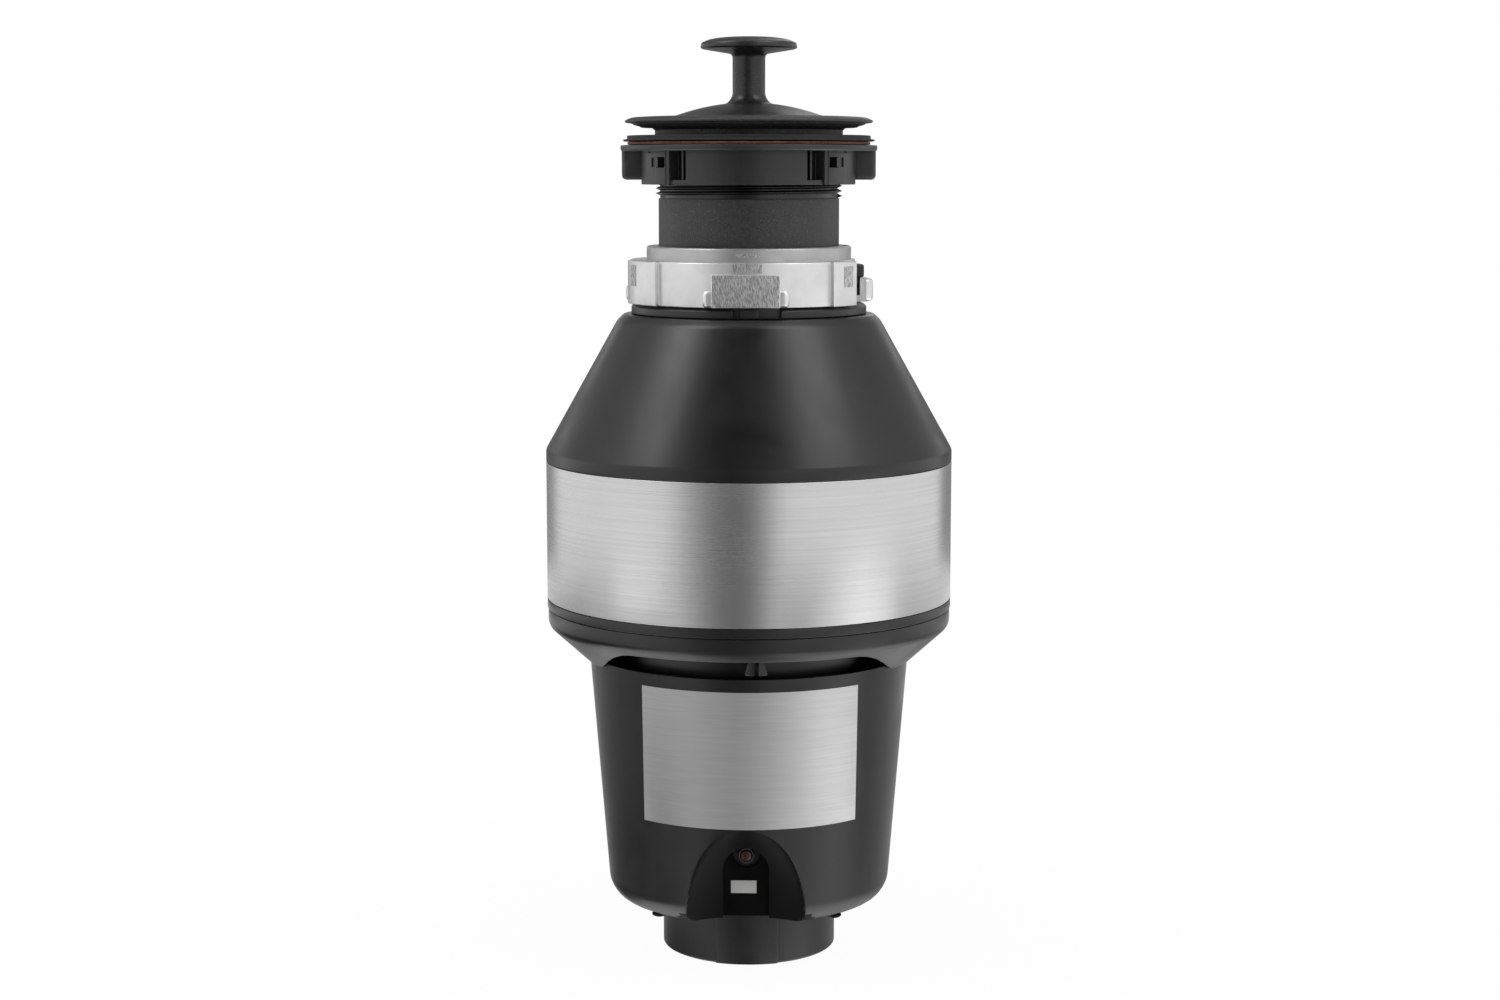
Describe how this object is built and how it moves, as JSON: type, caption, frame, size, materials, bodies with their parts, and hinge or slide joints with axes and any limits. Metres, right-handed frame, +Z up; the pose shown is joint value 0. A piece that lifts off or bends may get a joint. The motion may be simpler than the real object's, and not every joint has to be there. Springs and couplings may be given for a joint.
{
  "type": "kitchen food waste disposer",
  "caption": "Under-sink food waste disposer: tapered casing with a steel band, grinding set, motor, quick-lock ring, threaded sink flange with winged nut, and stopper.",
  "frame": {"origin": "centre of the flat underside of the wiring box, on the machine's vertical axis", "axes": "+Z up along the axis to the stopper, -Y to the front with the reset button, +Y to the drain outlet, +X to the right"},
  "size_m": [0.1888, 0.1888, 0.4255],
  "materials": {
    "gloss_black": "moulded black plastic, satin gloss",
    "satin_black": "moulded black plastic, satin",
    "grained_black": "grained black plastic",
    "rubber": "black rubber",
    "brushed_band": "fine horizontal brushing",
    "stainless": "stamped stainless steel",
    "steel": "plain machined steel",
    "laminations": "stacked laminations",
    "cast_aluminium": "die cast",
    "fibre": "vulcanised fibre",
    "foam": "expanded foam",
    "copper": "enamelled copper",
    "ferrite": "sintered ferrite",
    "carbon": "carbon block",
    "phenolic": "moulded phenolic",
    "circuit_board": "glass fibre board",
    "red_button": "dark red plastic"
  },
  "bodies": {
    "unit": {"upper_cover": "gloss_black", "steel_band": "brushed_band", "lower_cover": "gloss_black", "motor_housing": "gloss_black", "wiring_box": "gloss_black", "wiring_panel": "gloss_black", "cable_gland": "rubber", "overload_protector": "phenolic", "drain_bowl": "cast_aluminium", "hopper": "grained_black", "inlet_neck": "grained_black", "dishwasher_plug": "rubber", "sound_insulation": "foam", "shredder_ring": "stainless", "upper_bearing": "steel", "lower_bearing": "steel", "shaft_seal": "rubber", "motor_can": "steel", "magnet_a": "ferrite", "magnet_b": "ferrite", "end_frame": "cast_aluminium", "through_bolt_1": "steel", "through_bolt_2": "steel", "through_bolt_3": "steel", "through_bolt_4": "steel", "brush_holder_a": "phenolic", "brush_holder_b": "phenolic", "rectifier_board": "circuit_board", "mount_collar": "satin_black", "cushion_mount": "rubber", "splash_guard": "rubber", "sink_flange": "grained_black"},
    "rotor": {"turntable": "stainless", "lug_rivet_a": "stainless", "lug_rivet_b": "stainless", "motor_shaft": "steel", "turntable_nut": "steel", "armature_core": "laminations", "winding_lower": "copper", "winding_upper": "copper", "commutator": "copper", "slinger": "rubber"},
    "swing_lug_a": {"lug_a": "stainless"},
    "swing_lug_b": {"lug_b": "stainless"},
    "brush_a": {"carbon_brush_a": "carbon", "brush_spring_a": "steel"},
    "brush_b": {"carbon_brush_b": "carbon", "brush_spring_b": "steel"},
    "button": {"reset_button": "red_button"},
    "quick_lock": {"lock_ring": "cast_aluminium"},
    "gasket_stack": {"rubber_gasket": "rubber", "fibre_gasket": "fibre"},
    "winged_nut": {"lock_nut": "satin_black"},
    "plug": {"stopper": "grained_black", "stopper_seal": "rubber"}
  },
  "joints": [
    {"name": "rotor_spin", "type": "hinge", "parent": "unit", "child": "rotor", "pos_m": [0, 0, 0.15], "axis": [0, 0, 1], "continuous": true},
    {"name": "lug_a_swing", "type": "hinge", "parent": "rotor", "child": "swing_lug_a", "pos_m": [0.043, 0, 0.219], "axis": [0, 0, 1], "continuous": true},
    {"name": "lug_b_swing", "type": "hinge", "parent": "rotor", "child": "swing_lug_b", "pos_m": [-0.043, 0, 0.219], "axis": [0, 0, 1], "continuous": true},
    {"name": "brush_a_feed", "type": "slide", "parent": "unit", "child": "brush_a", "axis": [1, 0, 0], "range_m": [0, 0.004], "stiffness_N_per_m": 150, "springref_m": -0.02},
    {"name": "brush_b_feed", "type": "slide", "parent": "unit", "child": "brush_b", "axis": [-1, 0, 0], "range_m": [0, 0.004], "stiffness_N_per_m": 150, "springref_m": -0.02},
    {"name": "reset_press", "type": "slide", "parent": "unit", "child": "button", "axis": [0, 1, 0], "range_m": [-0.0025, 0.001], "stiffness_N_per_m": 300},
    {"name": "quick_lock_turn", "type": "hinge", "parent": "unit", "child": "quick_lock", "pos_m": [0, 0, 0.31], "axis": [0, 0, 1], "range_deg": [0, 30]},
    {"name": "gasket_slide", "type": "slide", "parent": "unit", "child": "gasket_stack", "axis": [0, 0, 1], "range_m": [-0.00692, 0.00278]},
    {"name": "nut_turn", "type": "hinge", "parent": "gasket_stack", "child": "winged_nut", "pos_m": [0, 0, 0.367], "axis": [0, 0, 1], "range_deg": [-1080, 432]},
    {"name": "stopper_lift", "type": "slide", "parent": "unit", "child": "plug", "axis": [0, 0, 1], "range_m": [0, 0.06]}
  ],
  "couplings": [
    {"joint": "gasket_slide", "follows": "nut_turn", "m_per_rad": 0.00036606}
  ]
}
